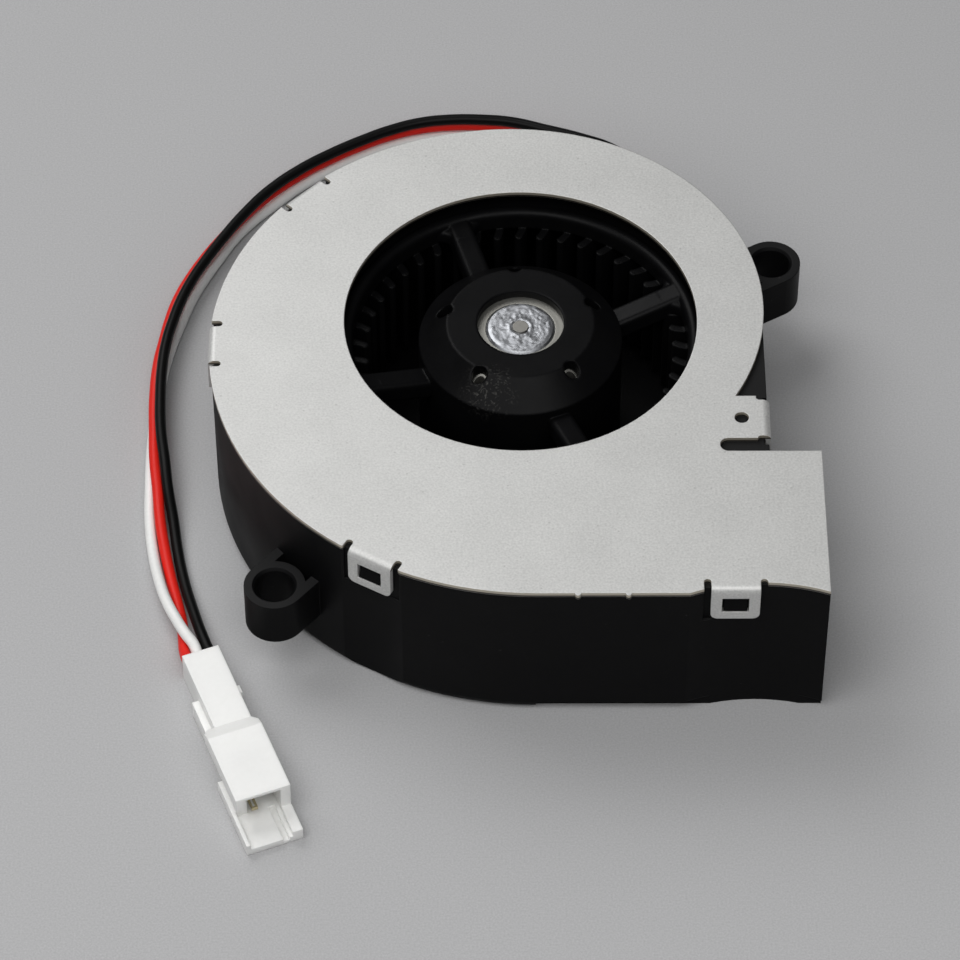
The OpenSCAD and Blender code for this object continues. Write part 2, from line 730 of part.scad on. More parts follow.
// Spoke that rises from the hub to the ring
module spoke() {
    translate([spoke_near_r, spoke_side, spoke_low])
        rotate([0, -spoke_slope, 0]) rotate([90, 0, 90])
            linear_extrude((spoke_far_r - spoke_near_r) / cos(spoke_slope)) spoke_section();
    spoke_web(1);
    spoke_web(-1);
}

module blade_plan() {
    intersection() {
        translate(blade_c) difference() {
            circle(blade_r + blade_t / 2);
            circle(blade_r - blade_t / 2);
        }
        difference() {
            circle(blade_out_r, $fn = 128);
            circle(blade_in_r, $fn = 128);
        }
        polygon([[0, 0], 2 * wheel_r * [cos(20), -sin(20)], 2 * blade_c]);
    }
    translate([blade_in_r, 0]) circle(blade_t / 2, $fn = 16);
}

// Flat ring over the blades, with a rounded lip round its opening
module blade_ring() {
    rotate_extrude($fn = 128) {
        span([ring_in_r + lip_r, ring_z], [wheel_r, ring_top]);
        span([ring_in_r, ring_z], [ring_in_r + 2 * lip_r, lip_z]);
        translate([ring_in_r + lip_r, lip_z]) circle(lip_r, $fn = 32);
    }
}

module impeller() {
    color("#19191a") {
        hub();
        for (k = [0 : 3]) rotate(spoke_a + 90 * k) spoke();
        blade_ring();
        translate([0, 0, blade_z]) linear_extrude(ring_z - blade_z + blade_sink)
            for (k = [0 : blade_count - 1]) rotate(blade_a + 360 * k / blade_count) blade_plan();
        washer(wheel_r - foot_ring_w, wheel_r, blade_z, foot_ring_h);
    }
}

// Rotor

module rotor_yoke() {
    color("#8d8f91") difference() {
        rotate_extrude() difference() {
            cup_section(0);
            translate([0, -yoke_t]) intersection() {
                cup_section(-yoke_t);
                span([0, 0], [yoke_r - yoke_t, body_h]);
            }
            span([0, 0], [yoke_r + cut, yoke_z]);
        }
        translate([0, 0, yoke_top - yoke_t - cut]) cylinder(r = boss_hole_r, h = body_h);
        hub_holes(hub_hole_r - cup_hole_step);
    }
}

module rotor_magnet() {
    color("#2c2a2a") washer(magnet_in_r, magnet_r, magnet_z, magnet_h);
}

module rotor_boss() {
    flange_z = yoke_top - yoke_t - boss_flange_h;
    color("#b4b6b8") difference() {
        union() {
            translate([0, 0, flange_z]) cylinder(r = boss_r, h = boss_top - boss_edge - flange_z);
            translate([0, 0, flange_z]) cylinder(r = boss_r - boss_edge, h = boss_top - flange_z);
            translate([0, 0, boss_top - boss_edge])
                cylinder(r1 = boss_r, r2 = boss_r - boss_edge, h = boss_edge);
            translate([0, 0, flange_z]) cylinder(r = boss_flange_r, h = boss_flange_h);
            translate([0, 0, neck_z]) cylinder(r = boss_neck_r, h = boss_flange_h);
        }
        cylinder(r = shaft_r + fit_gap, h = 2 * body_h);
    }
}

module rotor_shaft() {
    color("#d2d4d6") difference() {
        translate([0, 0, shaft_z]) cylinder(r = shaft_r, h = shaft_top - shaft_z);
        washer(groove_r, shaft_r + cut, clip_z - fit_gap, clip_t + 2 * fit_gap);
    }
}

// Bearings

module ball_groove(z) {
    translate([ball_track_r, z + bearing_w / 2]) circle(ball_r + ball_play, $fn = 32);
}

module inner_race(z) {
    color("#c9ccd0") rotate_extrude() difference() {
        span([shaft_r + fit_gap, z], [ball_track_r - ball_r + ring_gap, z + bearing_w]);
        ball_groove(z);
    }
}

module outer_race(z) {
    color("#c9ccd0") rotate_extrude() difference() {
        span([ball_track_r + ball_r - ring_gap, z], [bearing_r, z + bearing_w]);
        ball_groove(z);
    }
}

module race_balls(z) {
    color("#e0e2e4") for (k = [0 : ball_count - 1]) rotate(360 * k / ball_count)
        translate([ball_track_r, 0, z + bearing_w / 2]) sphere(r = ball_r, $fn = 24);
}

module upper_bearing_inner() {
    inner_race(upper_z);
}

module upper_bearing_outer() {
    outer_race(upper_z);
}

module upper_bearing_balls() {
    race_balls(upper_z);
}

module lower_bearing_inner() {
    inner_race(lower_z);
}

module lower_bearing_outer() {
    outer_race(lower_z);
}

module lower_bearing_balls() {
    race_balls(lower_z);
}

// Coil spring that pushes the rotor up off the upper bearing's inner ring
module preload_spring() {
    turns = 3;
    steps = 12;
    coil_r = shaft_r + 0.5;
    low = upper_z + bearing_w + spring_d / 2;
    rise = spring_h - spring_d;
    path = [
        for (i = [0 : turns * steps])
            [coil_r * cos(360 * i / steps), coil_r * sin(360 * i / steps),
             low + rise * i / (turns * steps)]
    ];
    color("#b9bcc0") tube_along(path, spring_d / 2, 6);
}

// Split ring in the shaft's groove, under the lower bearing
module retaining_clip() {
    color("#a9acb0") difference() {
        washer(groove_r + fit_gap, clip_r, clip_z, clip_t);
        block([0, -groove_r, clip_z - cut], [clip_r + cut, groove_r, clip_z + clip_t + cut]);
    }
}

module bearing_tube() {
    color("#c6a54b") difference() {
        translate([0, 0, floor_t]) cylinder(r = tube_r, h = upper_z + bearing_w - floor_t);
        translate([0, 0, floor_t - cut])
            cylinder(r = bearing_r + fit_gap, h = lower_z + bearing_w - floor_t + cut);
        translate([0, 0, upper_z]) cylinder(r = bearing_r + fit_gap, h = bearing_w + cut);
        cylinder(r = bearing_r - tube_step, h = body_h);
    }
}

// Stator

// Four teeth with pole shoes on a ring; the shoes end at r_out
module core_plan(r_out) {
    difference() {
        circle(core_ring_r);
        circle(tube_r + fit_gap);
    }
    for (k = [0 : 3]) rotate(90 * k) {
        span([core_ring_r - cut / 2, -tooth_w / 2], [stator_r - shoe_t + cut / 2, tooth_w / 2]);
        intersection() {
            difference() {
                circle(r_out);
                circle(stator_r - shoe_t);
            }
            polygon([[0, 0], 2 * stator_r * [cos(shoe_half_a), -sin(shoe_half_a)],
                     2 * stator_r * [cos(shoe_half_a), sin(shoe_half_a)]]);
        }
    }
}

module stator_core() {
    color("#70747a") translate([0, 0, core_z]) linear_extrude(core_h) core_plan(stator_r);
}

module upper_insulator() {
    color("#e6e2d6") translate([0, 0, core_z + core_h]) linear_extrude(cap_t)
        core_plan(stator_r - air_gap);
}

// The lower cap stands on the board with four posts
module lower_insulator() {
    color("#e6e2d6") {
        translate([0, 0, core_z - cap_t]) linear_extrude(cap_t) core_plan(stator_r - air_gap);
        for (k = [0 : 3]) rotate(45 + 90 * k) translate([post_at, 0, board_top])
            cylinder(r = post_r, h = core_z - cap_t / 2 - board_top, $fn = 24);
    }
}

module stator_windings() {
    half_w = tooth_w / 2 + coil_play;
    low = core_z - cap_t - coil_play;
    high = core_z + core_h + cap_t + coil_play;
    color("#b5652c") for (k = [0 : 3]) rotate(90 * k) difference() {
        block([coil_in_r, -coil_half_w, low - coil_t], [coil_out_r, coil_half_w, high + coil_t]);
        block([coil_in_r - cut, -half_w, low], [coil_out_r + cut, half_w, high]);
    }
}

// Driver board and what is soldered to it

module driver_board() {
    color("#1f5c3a") washer(board_hole_r, board_r, board_z, board_t);
}

// Box of a board part at a radius and direction, standing on z
module board_part(r, a, size, z) {
    rotate(a) translate([r - size.x / 2, -size.y / 2, z]) cube(size);
}

module hall_sensor() {
    color("#222224") board_part(hall_at, 0, hall_size, board_top);
}

module driver_chip() {
    color("#222224") board_part((board_hole_r + board_r) / 2, chip_a, chip_size, board_z - chip_size.z);
}

module board_parts() {
    color("#8a7a66") {
        for (a = RESISTORS_A) board_part(board_r - 2, a, resistor_size, board_top);
        board_part(board_r - 1.5, capacitor_a, capacitor_size, board_top);
    }
}

// Leads

// Stretch of each lead that the housing holds, from the board to the notch in the wall
module inner_leads() {
    colors = ["#b01c20", "#e8e8e6", "#141414"];
    out = [cos(exit_a), sin(exit_a), 0];
    left = [-sin(exit_a), cos(exit_a), 0];
    ends = [ROUTE_RED[0], ROUTE_WHITE[0], ROUTE_BLACK[0]];
    for (k = [0 : 2]) {
        off = [0, 1, -1][k] * lead_pitch;
        up_r = peg_at - 2 + lead_d;
        path = [
            for (p = [[up_r, board_z], [up_r, board_z - 0.7], [up_r + 0.5, lead_z + 0.6],
                      [up_r + 1.4, lead_z + 0.1], [up_r + 2.6, lead_z], [lead_bend_r, lead_z]])
                p[0] * out + off * left + [0, 0, p[1]],
            ends[k],
        ];
        color(colors[k]) tube_along(path, lead_d / 2, 8, left);
    }
}

module black_lead() {
    color("#141414") tube_along(ROUTE_BLACK, lead_d / 2);
}

module red_lead() {
    color("#b01c20") tube_along(ROUTE_RED, lead_d / 2);
}

module white_lead() {
    color("#e8e8e6") tube_along(ROUTE_WHITE, lead_d / 2);
}

// Connector

module at_plug() {
    translate([plug_at.x, plug_at.y, 0]) rotate(plug_turn) children();
}

// A contact's own axes: x across the connector, y up, z towards the mouth
module at_pin(k) {
    translate([k * pin_pitch, 0, lead_end_z]) rotate([90, 0, 0]) children();
}

// Mating end from one side to the other, above the height low
module mating_end(left, right, low) {
    translate([left, 0, 0]) rotate([90, 0, 90]) mirror([1, 0, 0]) linear_extrude(right - left)
        polygon([
            [plug_rear_l, low], [plug_front, low], [plug_front, plug_h],
            [plug_rear_l + plug_ramp_l, plug_h], [plug_rear_l, plug_rear_h],
        ]);
}

// Corner taken off a shoulder: s is the side, from the inner edge to the outer one
module shoulder_cut(s, inner, outer) {
    translate([0, -plug_rear_l, -cut]) linear_extrude(plug_h + 2 * cut) polygon([
        [s * inner, cut / 100], [s * (outer + cut), cut / 100],
        [s * (outer + cut), -plug_shoulder * (outer + cut - inner) / (outer - inner)],
    ]);
}

// Space of the mouth, the lip's floor, the keyway under the rail and the groove in the lip
module mouth() {
    block([mouth_left, -plug_l - cut, mouth_floor], [mouth_right, -mouth_from, plug_h - mouth_roof]);
    block([mouth_left - plug_wing / 2, -plug_front - cut, plug_rail_z],
          [mouth_left + cut, -mouth_from, plug_h - mouth_roof]);
    block([plug_body_left - plug_wing + plug_rim_w, -plug_l - cut, mouth_floor],
          [mouth_right, -plug_front, plug_rim_h + cut]);
    block([plug_body_left - plug_wing + plug_rim_w, -plug_front - cut, mouth_floor],
          [mouth_left + cut, mouth_step_back - plug_front, plug_rail_z]);
    block([mouth_right - plug_rim_w - groove_w, -plug_l - cut, mouth_floor - groove_depth],
          [mouth_right - plug_rim_w, mouth_step_back - plug_front, mouth_floor + cut]);
    translate([mouth_left - plug_wing / 2, 0, 0]) rotate([90, 0, 90]) mirror([1, 0, 0])
        linear_extrude(mouth_right - mouth_left + plug_wing / 2) polygon([
            [plug_front - mouth_roof, plug_h - mouth_roof - cut / 2],
            [plug_front - mouth_roof, plug_h - mouth_roof],
            [plug_front + cut / 2, plug_h - mouth_roof_edge],
            [plug_front + cut / 2, plug_h - mouth_roof - cut / 2],
        ]);
}

module connector_housing() {
    color("#f0f0ee") at_plug() difference() {
        union() {
            block([-plug_rear_w / 2, -plug_rear_l - cut, 0], [plug_rear_w / 2, 0, plug_rear_h]);
            block([plug_body_left, -plug_rear_l - cut, 0], [0, -plug_ledge_from, plug_ledge_h]);
            block([0, -plug_latch_from - plug_latch_l, plug_rear_h - plug_latch_h - plug_latch],
                  [plug_rear_w / 2 + plug_latch, -plug_latch_from, plug_rear_h - plug_latch]);
            difference() {
                union() {
                    mating_end(plug_body_left, plug_right, 0);
                    mating_end(plug_body_left - plug_rail, plug_body_left + cut, plug_rail_z);
                }
                shoulder_cut(1, plug_rear_w / 2, plug_right);
                shoulder_cut(-1, -plug_body_left, plug_rail - plug_body_left);
            }
            block([plug_body_left - plug_wing, -plug_l, 0], [0, -plug_wing_from, plug_rim_h]);
            block([0, -plug_l, 0], [plug_right, cut - plug_front, plug_rim_h]);
        }
        mouth();
        for (k = [-1 : 1]) at_pin(k) {
            half = pin_w / 2 + pin_play;
            translate([0, 0, -cut]) cylinder(r = crimp_r + pin_play, h = crimp_l + pin_play + cut);
            block([-half, -half, 0], [half, half, mouth_from + pin_play]);
        }
    }
}

// Three contacts; the left one reaches into the mouth and ends in an eye
module connector_pins() {
    loop_end = plug_front - pin_front;
    color("#c9b26a") at_plug() for (k = [-1 : 1]) at_pin(k) {
        cylinder(r = crimp_r, h = crimp_l, $fn = 24);
        block([-pin_w / 2, -pin_w / 2, crimp_l - cut],
              [pin_w / 2, pin_w / 2, k < 0 ? loop_end - loop_l + loop_bar : mouth_from - pin_front]);
        if (k < 0) difference() {
            block([-loop_w / 2, -pin_w / 2, loop_end - loop_l], [loop_w / 2, pin_w / 2, loop_end]);
            block([loop_bar - loop_w / 2, -pin_w, loop_end - loop_l + loop_bar],
                  [loop_w / 2 - loop_bar, pin_w, loop_end - loop_bar]);
        }
    }
}

scroll_housing();
top_cover();
impeller();
rotor_yoke();
rotor_magnet();
rotor_boss();
rotor_shaft();
upper_bearing_inner();
upper_bearing_outer();
upper_bearing_balls();
lower_bearing_inner();
lower_bearing_outer();
lower_bearing_balls();
preload_spring();
retaining_clip();
bearing_tube();
stator_core();
upper_insulator();
lower_insulator();
stator_windings();
driver_board();
hall_sensor();
driver_chip();
board_parts();
inner_leads();
black_lead();
red_lead();
white_lead();
connector_housing();
connector_pins();
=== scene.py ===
"""Looks of the small centrifugal blower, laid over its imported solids."""
import json
import math

import bmesh
import bpy
from bpy.props import FloatProperty, FloatVectorProperty, PointerProperty
from mathutils import Matrix, Vector, noise

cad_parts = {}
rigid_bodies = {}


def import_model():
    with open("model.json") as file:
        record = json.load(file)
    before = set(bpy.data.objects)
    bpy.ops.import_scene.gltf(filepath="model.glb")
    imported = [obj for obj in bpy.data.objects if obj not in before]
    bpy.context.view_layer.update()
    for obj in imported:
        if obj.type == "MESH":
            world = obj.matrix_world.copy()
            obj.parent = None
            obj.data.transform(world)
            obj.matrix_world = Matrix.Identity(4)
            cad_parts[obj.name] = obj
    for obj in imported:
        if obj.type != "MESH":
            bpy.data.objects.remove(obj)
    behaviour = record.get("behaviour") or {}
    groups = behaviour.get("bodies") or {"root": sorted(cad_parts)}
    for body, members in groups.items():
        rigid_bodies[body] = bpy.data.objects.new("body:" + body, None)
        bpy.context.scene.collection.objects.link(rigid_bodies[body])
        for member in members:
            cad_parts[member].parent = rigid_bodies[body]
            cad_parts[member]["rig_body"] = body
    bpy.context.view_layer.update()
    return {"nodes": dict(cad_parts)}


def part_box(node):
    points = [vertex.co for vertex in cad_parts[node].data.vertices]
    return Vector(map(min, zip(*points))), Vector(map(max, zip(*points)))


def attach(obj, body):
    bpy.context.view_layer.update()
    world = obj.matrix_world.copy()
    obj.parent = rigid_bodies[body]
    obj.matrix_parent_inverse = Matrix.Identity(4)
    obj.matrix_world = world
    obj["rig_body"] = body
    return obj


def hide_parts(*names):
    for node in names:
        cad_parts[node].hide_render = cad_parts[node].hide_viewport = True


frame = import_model()

bl_info = {
    "name": "Blower looks",
    "version": (1, 0, 0),
    "blender": (4, 5, 0),
    "location": "View3D > Sidebar > Blower",
    "description": "Finishes, leads, cast details and stage of a small centrifugal blower",
    "category": "Object",
}

MM = 0.001
NODES = frame["nodes"]

# Camera: its place in metres, then its turn, tilt and roll in radians
VIEW_PLACE = (-0.005147, -0.403745, 0.454658)
VIEW_TURN, VIEW_TILT, VIEW_ROLL = 0.000134465, math.pi / 2 - 0.8536927, -0.0018365
SENSOR_WIDTH = 36

# The floor reaches past the view and lies just clear of the underside
FLOOR_REACH, FLOOR_DROP = 3, 0.00003

# Width, height and place of each lamp, in metres
SOFTBOXES = {
    "front": ((0.7, 0.34), (-0.05, -0.26, 0.42)),
    "back": ((0.5, 0.4), (-0.28, 0.3, 0.5)),
}

# Height of the underside of the cover's sheet
SHEET = 0.0223

# Middle of the pale patch on the hub's bevel: scuffs, and painted sheen where the bevel faces the
# front light
SCUFF_AND_SHEEN_MIDDLE = (-0.0041, -0.0104, 0.0205)

# A wave texture repeats this often in one unit at scale 1, so its repeat is multiplied by it
WAVE = 20 / (2 * math.pi)

# Routes of the free leads in metres, from the notch in the wall to the connector
ROUTES = {
    "black_lead": (
        (0.0156, 0.0298, 0.0009), (0.0173, 0.0338, 0.00085), (0.0188, 0.0381, 0.00085),
        (0.0191, 0.0428, 0.0016), (0.017, 0.0473, 0.0026), (0.0132, 0.0502, 0.00335),
        (0.0087, 0.0521, 0.00365), (0.004, 0.0537, 0.0037), (-0.0007, 0.0552, 0.0037),
        (-0.0051, 0.0557, 0.0037), (-0.0093, 0.0557, 0.0037), (-0.0134, 0.0551, 0.0037),
        (-0.0174, 0.0537, 0.0037), (-0.0215, 0.0516, 0.0037), (-0.0256, 0.0491, 0.0037),
        (-0.0297, 0.0461, 0.0037), (-0.0338, 0.0423, 0.00355), (-0.037, 0.038, 0.00355),
        (-0.0401, 0.0328, 0.00355), (-0.0421, 0.029, 0.00355), (-0.0438, 0.0253, 0.00355),
        (-0.0451, 0.0216, 0.00355), (-0.046, 0.018, 0.00355), (-0.0467, 0.0143, 0.00355),
        (-0.0471, 0.0098, 0.00355), (-0.0471, 0.0036, 0.00355), (-0.0468, -0.0016, 0.0035),
        (-0.0461, -0.0066, 0.0032), (-0.0455, -0.0111, 0.0025), (-0.0447, -0.0154, 0.0015),
        (-0.044, -0.0199, 0.00085), (-0.043, -0.0249, 0.00085), (-0.0414, -0.031, 0.0015),
        (-0.0399, -0.03594, 0.0022), (-0.0388, -0.03874, 0.0022),
    ),
    "red_lead": (
        (0.0142, 0.0304, 0.0009), (0.0159, 0.0343, 0.00085), (0.0173, 0.0385, 0.0008),
        (0.0176, 0.0426, 0.0011), (0.0161, 0.0467, 0.0015), (0.0129, 0.0498, 0.0019),
        (0.0088, 0.0522, 0.0021), (0.0041, 0.0541, 0.0022), (-0.0007, 0.0555, 0.0022),
        (-0.0051, 0.056, 0.0022), (-0.0093, 0.056, 0.0022), (-0.0134, 0.0554, 0.0022),
        (-0.0175, 0.0541, 0.0022), (-0.0217, 0.052, 0.0022), (-0.0259, 0.0494, 0.0022),
        (-0.0299, 0.0464, 0.0022), (-0.0339, 0.0427, 0.0021), (-0.0371, 0.0389, 0.0021),
        (-0.0404, 0.034, 0.0021), (-0.0425, 0.0304, 0.0021), (-0.0443, 0.0267, 0.0021),
        (-0.0457, 0.023, 0.0021), (-0.0466, 0.0193, 0.0021), (-0.0472, 0.0156, 0.00215),
        (-0.0478, 0.0111, 0.00225), (-0.048, 0.0048, 0.00225), (-0.0478, -0.0004, 0.00225),
        (-0.0475, -0.0057, 0.00225), (-0.0469, -0.0107, 0.002), (-0.0464, -0.0154, 0.0016),
        (-0.0456, -0.0201, 0.0011), (-0.0446, -0.0248, 0.00075), (-0.0436, -0.0289, 0.00075),
        (-0.0429, -0.0322, 0.0009), (-0.0426, -0.035, 0.0012), (-0.0423, -0.0376, 0.00175),
        (-0.04195, -0.03895, 0.00215), (-0.0416, -0.03984, 0.0022),
    ),
    "white_lead": (
        (0.0128, 0.0311, 0.0009), (0.0144, 0.0349, 0.00085), (0.0158, 0.0388, 0.00075),
        (0.0161, 0.0424, 0.00075), (0.0149, 0.046, 0.00075), (0.0122, 0.049, 0.00075),
        (0.0084, 0.0515, 0.00075), (0.0039, 0.0535, 0.00075), (-0.0008, 0.0549, 0.00075),
        (-0.0051, 0.0554, 0.00075), (-0.0093, 0.0554, 0.00075), (-0.0133, 0.0548, 0.00075),
        (-0.0173, 0.0535, 0.00075), (-0.0214, 0.0514, 0.00075), (-0.0255, 0.0489, 0.00075),
        (-0.0295, 0.0459, 0.00075), (-0.0332, 0.0422, 0.00075), (-0.0362, 0.0389, 0.00075),
        (-0.0386, 0.0355, 0.00075), (-0.0406, 0.0317, 0.00075), (-0.0424, 0.028, 0.00075),
        (-0.0439, 0.0243, 0.00075), (-0.045, 0.0206, 0.00075), (-0.046, 0.0169, 0.00075),
        (-0.0469, 0.0124, 0.00075), (-0.0477, 0.0061, 0.00075), (-0.048, 0.0008, 0.00075),
        (-0.0481, -0.0044, 0.00075), (-0.048, -0.0096, 0.00075), (-0.0478, -0.0147, 0.00075),
        (-0.0472, -0.0198, 0.0008), (-0.0461, -0.0254, 0.0015), (-0.0449, -0.0295, 0.0021),
        (-0.0435, -0.0328, 0.0025), (-0.0422, -0.0355, 0.00295), (-0.0412, -0.0369, 0.0027),
        (-0.04064, -0.03818, 0.0023), (-0.04025, -0.03917, 0.0022),
    ),
}

# Inside the motor the leads come down from the board and run out in a channel under the floor; each
# step is the way out from the axis and the height
EXIT_ANGLE = math.radians(65)
LEAD_PITCH = 0.00155
INNER_STEPS = (
    (0.00836, 0.0032), (0.00836, 0.0025), (0.00886, 0.0015), (0.00976, 0.001),
    (0.01096, 0.0009), (0.022, 0.0009),
)


def linear(code):
    """Linear colour, with alpha, of an sRGB hex value."""
    parts = [int(code[i:i + 2], 16) / 255 for i in (1, 3, 5)]
    return [p / 12.92 if p <= 0.04045 else ((p + 0.055) / 1.055) ** 2.4 for p in parts] + [1.0]


def per_mm(size):
    """Texture scale that makes a pattern's features about size millimetres across."""
    return 1 / (size * MM)


def add(tree, kind, values=None, links=None, **settings):
    """New node with its settings, the values of its sockets and its links."""
    # Sockets go by name, or by number where names repeat: a Map Range has its value at 0, the
    # range it comes from at 1 and 2, and the range it goes to at 3 and 4
    node = tree.nodes.new(kind)
    for name, value in settings.items():
        setattr(node, name, value)
    for socket, value in (values or {}).items():
        node.inputs[socket].default_value = value
    for socket, output in (links or {}).items():
        tree.links.new(output, node.inputs[socket])
    return node


def start(name, **values):
    """New material with one Principled shader; gives the material, its tree, shader and place."""
    material = bpy.data.materials.new(name)
    material.use_nodes = True
    tree = material.node_tree
    tree.nodes.clear()
    sockets = {socket.replace("_", " "): value for socket, value in values.items()}
    shader = add(tree, "ShaderNodeBsdfPrincipled", sockets)
    add(tree, "ShaderNodeOutputMaterial", links={"Surface": shader.outputs["BSDF"]})
    place = add(tree, "ShaderNodeTexCoord").outputs["Object"]
    return material, tree, shader, place


def varied(tree, middle, *spreads):
    """A value that strays from middle by the spread of each pattern."""
    value = middle - sum(spread for _, spread in spreads) / 2
    for pattern, spread in spreads:
        node = add(tree, "ShaderNodeMath", {1: spread}, {0: pattern}, operation="MULTIPLY_ADD")
        if isinstance(value, float):
            node.inputs[2].default_value = value
        else:
            tree.links.new(value, node.inputs[2])
        value = node.outputs[0]
    return value


def mottled(tree, shader, colour, level):
    """Base colour whose brightness follows level; gives the colour's output."""
    tinted = add(tree, "ShaderNodeHueSaturation", {"Color": colour}, {"Value": level})
    tree.links.new(tinted.outputs["Color"], shader.inputs["Base Color"])
    return tinted.outputs["Color"]


def spotted(tree, shader, under, colour, mask):
    """Lays a second colour over the base colour where mask is 1; gives the colour's output."""
    # A colour mix has its share at 0, its two colours at 6 and 7 and its result at 2
    mix = add(tree, "ShaderNodeMix", {7: colour}, {0: mask, 6: under}, data_type="RGBA")
    tree.links.new(mix.outputs[2], shader.inputs["Base Color"])
    return mix.outputs[2]


def soft_edges(tree, shader, radius, height, depth):
    """Rounds the edges that catch the light, and adds the relief of a pattern."""
    edges = add(tree, "ShaderNodeBevel", {"Radius": radius * MM}, samples=8).outputs["Normal"]
    relief = add(tree, "ShaderNodeBump", {"Strength": 1.0, "Distance": depth * MM},
                 {"Height": height, "Normal": edges}).outputs["Normal"]
    tree.links.new(relief, shader.inputs["Normal"])


def zinc_coated_steel(colour):
    """Hot-dip zinc on rolled sheet: a dull pale grey of fine bright and dark grains."""
    # The skin-passed coat has no mirror left. Its grains are about 0.05 mm; they are drawn 0.28 mm
    # wide to show. Faint clouds come from the rolling, and a few pinholes read as dark specks. The
    # sheared edges are bare steel: smooth and slightly brown at the top, torn below. The torn part
    # is darkened, partly for its dull fracture and partly as painted shade; its depth and tone are
    # set so that the 0.7 mm edge reads about 0.5 mm thick.
    material, tree, shader, place = start("zinc_coated_steel", Metallic=0.5)
    grain = add(tree, "ShaderNodeTexNoise", {"Scale": per_mm(0.28), "Detail": 2.0},
                {"Vector": place}).outputs[0]
    cloud = add(tree, "ShaderNodeTexNoise", {"Scale": per_mm(7), "Detail": 3.0},
                {"Vector": place}).outputs[0]
    holes = add(tree, "ShaderNodeTexNoise", {"Scale": per_mm(0.5), "Detail": 0.0},
                {"Vector": place}).outputs[0]
    under = mottled(tree, shader, colour, varied(tree, 1.0, (grain, 0.5), (cloud, 0.14)))
    specks = add(tree, "ShaderNodeMapRange", {1: 0.8, 2: 0.84, 3: 0.0, 4: 0.3}, {0: holes})
    under = spotted(tree, shader, under, linear("#8E8E8C"), specks.outputs[0])
    level = add(tree, "ShaderNodeSeparateXYZ", links={0: place}).outputs["Z"]
    in_sheet = add(tree, "ShaderNodeMapRange", {1: SHEET, 2: SHEET + 0.05 * MM}, {0: level})
    facing = add(tree, "ShaderNodeNewGeometry").outputs["True Normal"]
    upward = add(tree, "ShaderNodeSeparateXYZ", links={0: facing}).outputs["Z"]
    sheared = add(tree, "ShaderNodeMapRange", {1: 0.05, 2: 0.15, 4: 0.0},
                  {0: upward, 3: in_sheet.outputs[0]}).outputs[0]
    under = spotted(tree, shader, under, linear("#C2BBAC"), sheared)
    # Painted shade with the dull fracture: the lower, torn part of the sheared edge is darkened
    torn_and_painted_shade = add(tree, "ShaderNodeMapRange", {1: SHEET + 0.22 * MM, 2: SHEET + 0.3 * MM, 4: 0.0},
               {0: level, 3: sheared}).outputs[0]
    spotted(tree, shader, under, linear("#38342E"), torn_and_painted_shade)
    dull = varied(tree, 0.52, (grain, 0.2))
    smooth = add(tree, "ShaderNodeMath", {1: -0.2}, {0: sheared, 2: dull}, operation="MULTIPLY_ADD")
    tree.links.new(smooth.outputs[0], shader.inputs["Roughness"])
    soft_edges(tree, shader, radius=0.16, height=grain, depth=0.012)
    return material


def glass_filled_polyester(colour):
    """Moulded glass-filled polyester: near black, dull, with the mould's fine grain and lint."""
    # The glass dulls the skin; the spark-eroded mould leaves a grain of about 0.1 mm, drawn 0.2 mm.
    # Faces that point up outside, above the closed floor, are lightened: dust, and painted sheen
    # that stands for the reflection of the lamps above.
    material, tree, shader, place = start(
        "glass_filled_polyester", IOR=1.55, Specular_IOR_Level=0.07)
    grain = add(tree, "ShaderNodeTexNoise", {"Scale": per_mm(0.2), "Detail": 2.0},
                {"Vector": place}).outputs[0]
    flow = add(tree, "ShaderNodeTexNoise", {"Scale": per_mm(9), "Detail": 2.0},
               {"Vector": place}).outputs[0]
    lint = add(tree, "ShaderNodeTexNoise", {"Scale": per_mm(0.7), "Detail": 1.0},
               {"Vector": place}).outputs[0]
    under = mottled(tree, shader, colour, varied(tree, 1.0, (grain, 0.5), (flow, 0.5)))
    specks = add(tree, "ShaderNodeMapRange", {1: 0.78, 2: 0.84, 3: 0.0, 4: 0.3}, {0: lint})
    under = spotted(tree, shader, under, linear("#4A4A48"), specks.outputs[0])
    facing = add(tree, "ShaderNodeNewGeometry").outputs["Normal"]
    upward = add(tree, "ShaderNodeSeparateXYZ", links={0: facing}).outputs["Z"]
    level = add(tree, "ShaderNodeSeparateXYZ", links={0: place}).outputs["Z"]
    # Painted sheen with dust: upward faces are lighter, only above the closed floor
    dust_and_sheen_height = add(tree, "ShaderNodeMapRange", {1: 8 * MM, 2: 11 * MM, 3: 0.0, 4: 0.03}, {0: level})
    dust_and_sheen = add(tree, "ShaderNodeMapRange", {1: 0.7}, {0: upward, 4: dust_and_sheen_height.outputs[0]})
    spotted(tree, shader, under, linear("#A8A8A8"), dust_and_sheen.outputs[0])
    tree.links.new(varied(tree, 0.5, (flow, 0.3), (grain, 0.1)), shader.inputs["Roughness"])
    soft_edges(tree, shader, radius=0.22, height=grain, depth=0.012)
    return material


